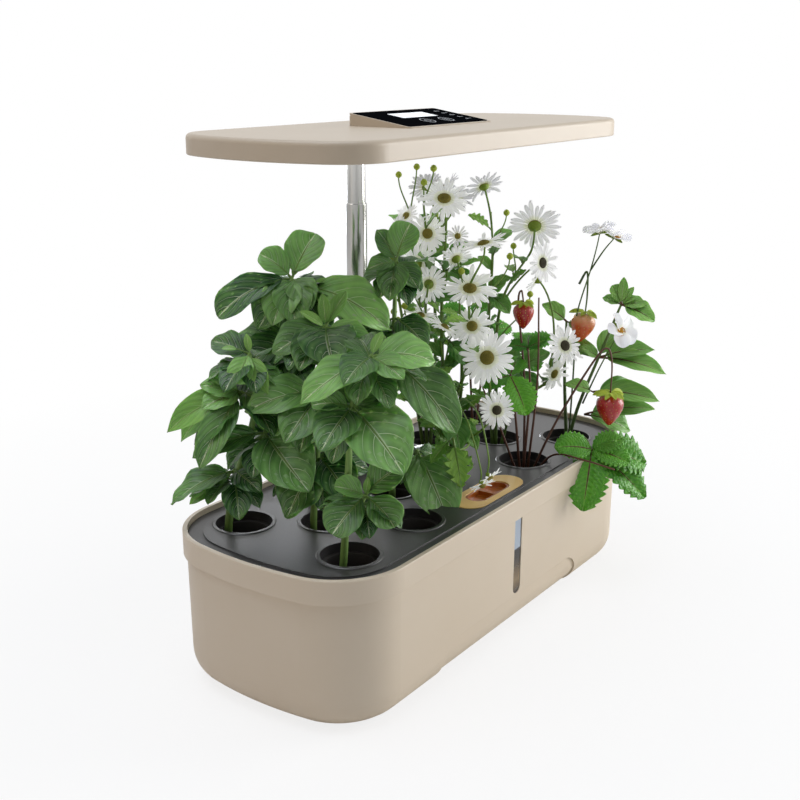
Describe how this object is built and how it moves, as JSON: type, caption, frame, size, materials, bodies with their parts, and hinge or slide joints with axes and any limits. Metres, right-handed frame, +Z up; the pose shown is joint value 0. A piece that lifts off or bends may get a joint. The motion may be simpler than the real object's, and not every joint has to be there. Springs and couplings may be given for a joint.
{
  "type": "countertop hydroponic garden",
  "caption": "Tabletop hydroponic planter: bow-ended water tank with a pod deck, a telescopic pole and a flat grow lamp over basil, daisies and strawberries.",
  "frame": {"origin": "on the flat underside of the tank, at the middle of its length and width", "axes": "+X right along the long front, +Y to the back, +Z up"},
  "size_m": [0.4156, 0.2391, 0.3718],
  "materials": {
    "beige_plastic": "satin moulded",
    "charcoal_plastic": "satin moulded",
    "window_plastic": "frosted clear",
    "black_rubber": "matt",
    "black_plastic": "matt",
    "white_plastic": "matt",
    "basket_plastic": "matt",
    "sponge": "open-cell foam",
    "yellow_plastic": "satin moulded",
    "orange_plastic": "gloss moulded",
    "polished_steel": "polished",
    "light_panel_plastic": "frosted clear",
    "board_white": "white solder resist",
    "light_chip": "phosphor",
    "black_glass": "polished",
    "display_glass": "lit display",
    "green_board": "circuit board",
    "silicone_hose": "silicone",
    "leaf_basil": "glossy leaf",
    "petal_white": "petal",
    "leaf_strawberry": "leaf"
  },
  "bodies": {
    "tank": {"tank_shell": "beige_plastic", "window_lens": "window_plastic", "window_seal": "black_rubber", "foot_pads": "black_rubber", "pump_housing": "black_plastic", "pump_cover": "black_plastic", "pump_shaft": "polished_steel", "outlet_hose": "silicone_hose", "suction_cups": "black_rubber"},
    "impeller": {"pump_impeller": "white_plastic"},
    "deck": {"collar": "beige_plastic", "deck_plate": "charcoal_plastic", "pole_socket": "charcoal_plastic", "power_inlet": "black_plastic", "grow_sponges": "sponge", "feed_bezel": "yellow_plastic", "pole_lower_tube": "polished_steel", "pole_bush": "black_plastic", "basket_front_1": "basket_plastic", "basket_front_2": "basket_plastic", "basket_front_3": "basket_plastic", "basket_front_4": "basket_plastic", "basket_middle_1": "basket_plastic", "basket_middle_2": "basket_plastic", "basket_middle_3": "basket_plastic", "basket_middle_4": "basket_plastic", "basket_rear_1": "basket_plastic", "basket_rear_2": "basket_plastic", "basket_rear_3": "basket_plastic", "basket_rear_4": "basket_plastic", "basil_front_1": "leaf_basil", "basil_middle_1": "leaf_basil", "basil_middle_2": "leaf_basil", "basil_rear_1": "leaf_basil", "basil_rear_2": "leaf_basil", "daisy_middle_3": "petal_white", "daisy_middle_4": "petal_white", "daisy_rear_3": "petal_white", "strawberry_front_3": "leaf_strawberry", "strawberry_front_4": "leaf_strawberry", "strawberry_rear_4": "leaf_strawberry"},
    "feed_cap": {"feed_cap": "orange_plastic"},
    "pole_middle": {"pole_mid_tube": "polished_steel", "pole_mid_plug": "black_plastic"},
    "lamp": {"pole_upper_tube": "polished_steel", "lamp_housing": "beige_plastic", "light_panel": "light_panel_plastic", "lamp_screws": "polished_steel", "light_board": "board_white", "board_spacers": "white_plastic", "light_chips": "light_chip", "control_wedge": "beige_plastic", "touch_glass": "black_glass", "display": "display_glass", "control_board": "green_board"}
  },
  "joints": [
    {"name": "deck_lift", "type": "slide", "parent": "tank", "child": "deck", "axis": [0, 0, 1], "range_m": [0, 0.12]},
    {"name": "feed_cap_lift", "type": "slide", "parent": "deck", "child": "feed_cap", "axis": [0, 0, 1], "range_m": [0, 0.03]},
    {"name": "pole_middle_slide", "type": "slide", "parent": "deck", "child": "pole_middle", "axis": [0, 0, 1], "range_m": [-0.075, 0], "deforming": ["basil_front_1", "basil_middle_1", "basil_middle_2", "basil_rear_1", "basil_rear_2", "daisy_middle_3", "daisy_middle_4", "daisy_rear_3", "strawberry_front_3", "strawberry_front_4", "strawberry_rear_4"]},
    {"name": "pole_upper_slide", "type": "slide", "parent": "pole_middle", "child": "lamp", "axis": [0, 0, 1], "range_m": [0, 0.085]},
    {"name": "impeller_spin", "type": "hinge", "parent": "tank", "child": "impeller", "pos_m": [0, 0.022, 0.022], "axis": [1, 0, 0], "continuous": true}
  ]
}
